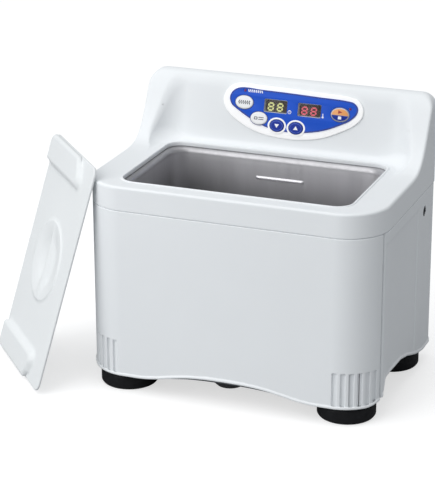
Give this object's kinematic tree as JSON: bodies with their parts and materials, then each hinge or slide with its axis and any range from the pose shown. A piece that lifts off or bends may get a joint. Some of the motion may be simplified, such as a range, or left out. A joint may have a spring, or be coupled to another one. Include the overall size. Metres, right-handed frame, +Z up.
{
  "type": "heated bench-top water bath",
  "caption": "Bench-top heated bath: white moulded housing, deep-drawn steel tank, raised rear keypad panel, four rubber feet and a loose lid leaning against one corner.",
  "frame": {"origin": "centre of the bottom of the box round the bath and its leaning lid, on the bench plane", "axes": "+X to the right of a user facing the control panel, +Y towards the back, +Z up"},
  "size_m": [0.4314, 0.2424, 0.2845],
  "materials": {
    "housing_white": "cool white injection-moulded plastic, fine satin texture",
    "lid_white": "cool white moulded plastic sheet, satin",
    "tank_steel": "deep-drawn stainless steel, fine satin",
    "zinc_steel": "zinc-plated steel",
    "foot_rubber": "black rubber, dull",
    "gasket_rubber": "dark grey rubber",
    "cast_aluminium": "turned aluminium",
    "heater_silicone": "orange-brown silicone rubber",
    "black_plastic": "black moulded plastic",
    "circuit_board": "green solder mask",
    "heat_sink_black": "black anodised extrusion",
    "coil_winding": "varnished copper winding",
    "standoff_brass": "plain brass",
    "digits_yellow_green": "lit seven-segment digits",
    "digits_red": "lit seven-segment digits",
    "bezel_white": "smooth white plastic",
    "overlay_blue": "blue printed film, semi-gloss",
    "display_lens": "smoked clear lens",
    "led_red": "lit red lens",
    "key_white": "white key top",
    "key_blue": "dark blue key top",
    "key_orange": "orange and navy key top",
    "cable_grey": "grey insulated cable",
    "cable_red": "dark red insulated cable"
  },
  "bodies": {
    "bath": {"top_housing": "housing_white", "front_shell": "housing_white", "rear_shell": "housing_white", "side_screw_left": "zinc_steel", "side_screw_right": "zinc_steel", "base_plate": "zinc_steel", "foot_front_left": "foot_rubber", "foot_front_right": "foot_rubber", "foot_rear_left": "foot_rubber", "foot_rear_right": "foot_rubber", "foot_screw_front_left": "zinc_steel", "foot_screw_front_right": "zinc_steel", "foot_screw_rear_left": "zinc_steel", "foot_screw_rear_right": "zinc_steel", "drain_plug": "foot_rubber", "tank": "tank_steel", "tank_gasket": "gasket_rubber", "tank_bracket_left": "zinc_steel", "tank_bracket_right": "zinc_steel", "transducer_left": "cast_aluminium", "transducer_right": "cast_aluminium", "heater_mat_front": "heater_silicone", "heater_mat_rear": "heater_silicone", "thermal_cutout": "black_plastic", "temperature_probe": "zinc_steel", "power_board": "circuit_board", "heat_sink": "heat_sink_black", "output_coil": "coil_winding", "board_standoff_1": "standoff_brass", "board_standoff_2": "standoff_brass", "control_board": "circuit_board", "digits_time": "digits_yellow_green", "digits_temperature": "digits_red", "panel_bezel": "bezel_white", "panel_overlay": "overlay_blue", "display_window_time": "display_lens", "display_window_temperature": "display_lens", "led_heater": "led_red", "led_run": "led_red", "switch_heater": "black_plastic", "switch_mode": "black_plastic", "switch_down": "black_plastic", "switch_up": "black_plastic", "switch_start_stop": "black_plastic", "inlet_socket": "black_plastic", "switch_frame": "black_plastic", "display_cable": "cable_grey", "mains_cable": "cable_grey", "transducer_cable": "cable_red"},
    "lid": {"lid": "lid_white"},
    "key_heater": {"key_heater": "key_white"},
    "key_mode": {"key_mode": "key_white"},
    "key_down": {"key_down": "key_blue"},
    "key_up": {"key_up": "key_blue"},
    "key_start_stop": {"key_start_stop": "key_orange"},
    "fuse_drawer": {"fuse_drawer": "black_plastic"},
    "rocker": {"switch_rocker": "black_plastic"}
  },
  "joints": [
    {"name": "lid_swing", "type": "hinge", "parent": "bath", "child": "lid", "pos_m": [-0.05347, -0.08787, 0.22753], "axis": [-0.3491, 0.905, 0.2432], "range_deg": [0, 247.97]},
    {"name": "key_heater_press", "type": "slide", "parent": "bath", "child": "key_heater", "axis": [0, 0.9659, -0.2588], "range_m": [0, 0.0005], "stiffness_N_per_m": 900},
    {"name": "key_mode_press", "type": "slide", "parent": "bath", "child": "key_mode", "axis": [0, 0.9659, -0.2588], "range_m": [0, 0.0005], "stiffness_N_per_m": 900},
    {"name": "key_down_press", "type": "slide", "parent": "bath", "child": "key_down", "axis": [0, 0.9659, -0.2588], "range_m": [0, 0.0005], "stiffness_N_per_m": 900},
    {"name": "key_up_press", "type": "slide", "parent": "bath", "child": "key_up", "axis": [0, 0.9659, -0.2588], "range_m": [0, 0.0005], "stiffness_N_per_m": 900},
    {"name": "key_start_stop_press", "type": "slide", "parent": "bath", "child": "key_start_stop", "axis": [0, 0.9659, -0.2588], "range_m": [0, 0.0005], "stiffness_N_per_m": 900},
    {"name": "rocker_tilt", "type": "hinge", "parent": "bath", "child": "rocker", "pos_m": [0.15972, 0.1176, 0.118], "axis": [0, 0, 1], "range_deg": [-18, 0]},
    {"name": "fuse_drawer_slide", "type": "slide", "parent": "bath", "child": "fuse_drawer", "axis": [0, 1, 0], "range_m": [0, 0.012]}
  ]
}
